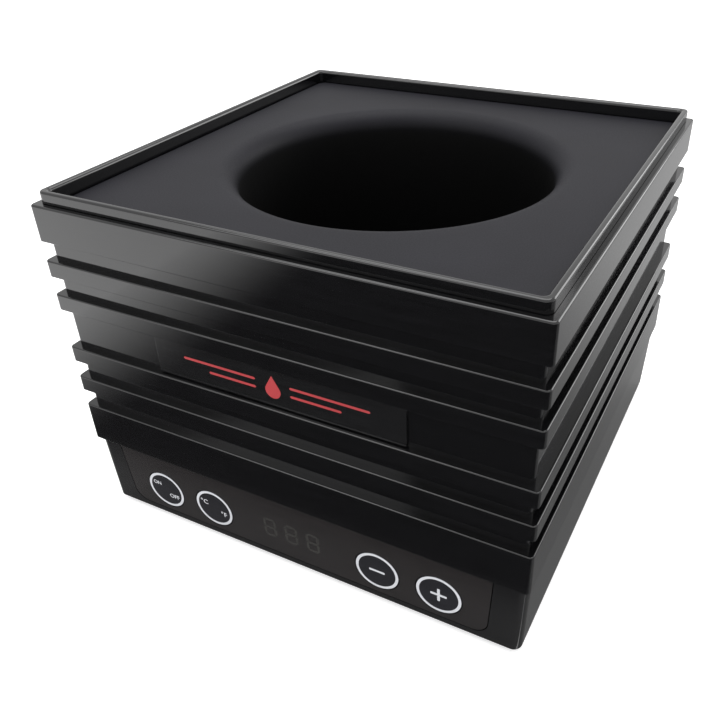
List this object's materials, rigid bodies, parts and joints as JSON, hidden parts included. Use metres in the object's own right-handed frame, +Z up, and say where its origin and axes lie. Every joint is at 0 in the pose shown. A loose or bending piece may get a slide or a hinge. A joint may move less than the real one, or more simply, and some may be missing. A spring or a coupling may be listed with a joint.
{
  "type": "wax warmer pot",
  "caption": "Square black table-top wax warmer with stacked bands, a lift-out silicone bowl over an aluminium pot, and a front panel with round keys.",
  "frame": {"origin": "centre of the footprint, on the plane that the four feet stand on", "axes": "+Z up, the control panel and badge face -Y, +X to the right as seen from the front"},
  "size_m": [0.2472, 0.2472, 0.185],
  "materials": {
    "gloss_black_abs": "polished black ABS",
    "panel_gloss": "smoked gloss",
    "key_gloss": "gloss",
    "silicone": "soft matte silicone",
    "pot_aluminium": "spun satin",
    "steel": "zinc plated",
    "shield_steel": "galvanised sheet",
    "heater_steel": "stainless band",
    "glass_wool": "needled glass felt",
    "sensor_brass": "nickelled",
    "pin_brass": "plated",
    "circuit_board": "solder mask",
    "component_black": "moulded",
    "terminal_green": "moulded",
    "inlet_black": "fine texture",
    "fuse_white": "ceramic",
    "lead_red": "silicone insulated",
    "ribbon_grey": "flat cable",
    "foot_rubber": "matte",
    "badge_plate": "polished with a red printed line"
  },
  "bodies": {
    "housing": {"upper_housing": "gloss_black_abs", "rim_frame": "gloss_black_abs", "rim_screws": "steel", "heating_pot": "pot_aluminium", "pot_screws": "steel", "band_heater": "heater_steel", "heater_clamp": "steel", "clamp_screw": "steel", "clamp_nut": "steel", "insulation_sleeve": "glass_wool", "temperature_sensor": "sensor_brass", "thermal_fuse": "fuse_white", "sensor_clip": "steel", "heat_shield": "shield_steel", "shield_posts": "sensor_brass", "shield_screws": "steel", "base_housing": "gloss_black_abs", "control_panel": "panel_gloss", "panel_screws": "steel", "control_board": "circuit_board", "control_board_screws": "steel", "tact_switches": "component_black", "display_module": "component_black", "power_board": "circuit_board", "power_board_screws": "steel", "transformer": "component_black", "relay": "component_black", "capacitor": "component_black", "terminal_block": "terminal_green", "power_inlet": "inlet_black", "inlet_pins": "pin_brass", "inlet_screws": "steel", "heater_leads": "lead_red", "ribbon_cable": "ribbon_grey", "rubber_feet": "foot_rubber", "housing_screws": "steel", "name_badge": "badge_plate"},
    "silicone_bowl": {"silicone_bowl": "silicone"},
    "key_power": {"key_power": "key_gloss"},
    "key_unit": {"key_unit": "key_gloss"},
    "key_minus": {"key_minus": "key_gloss"},
    "key_plus": {"key_plus": "key_gloss"}
  },
  "joints": [
    {"name": "bowl_lift", "type": "slide", "parent": "housing", "child": "silicone_bowl", "axis": [0, 0, 1], "range_m": [0, 0.15]},
    {"name": "key_power_press", "type": "slide", "parent": "housing", "child": "key_power", "axis": [0, 1, 0], "range_m": [0, 0.0005], "stiffness_N_per_m": 1600, "springref_m": -0.0003},
    {"name": "key_unit_press", "type": "slide", "parent": "housing", "child": "key_unit", "axis": [0, 1, 0], "range_m": [0, 0.0005], "stiffness_N_per_m": 1600, "springref_m": -0.0003},
    {"name": "key_minus_press", "type": "slide", "parent": "housing", "child": "key_minus", "axis": [0, 1, 0], "range_m": [0, 0.0005], "stiffness_N_per_m": 1600, "springref_m": -0.0003},
    {"name": "key_plus_press", "type": "slide", "parent": "housing", "child": "key_plus", "axis": [0, 1, 0], "range_m": [0, 0.0005], "stiffness_N_per_m": 1600, "springref_m": -0.0003}
  ]
}
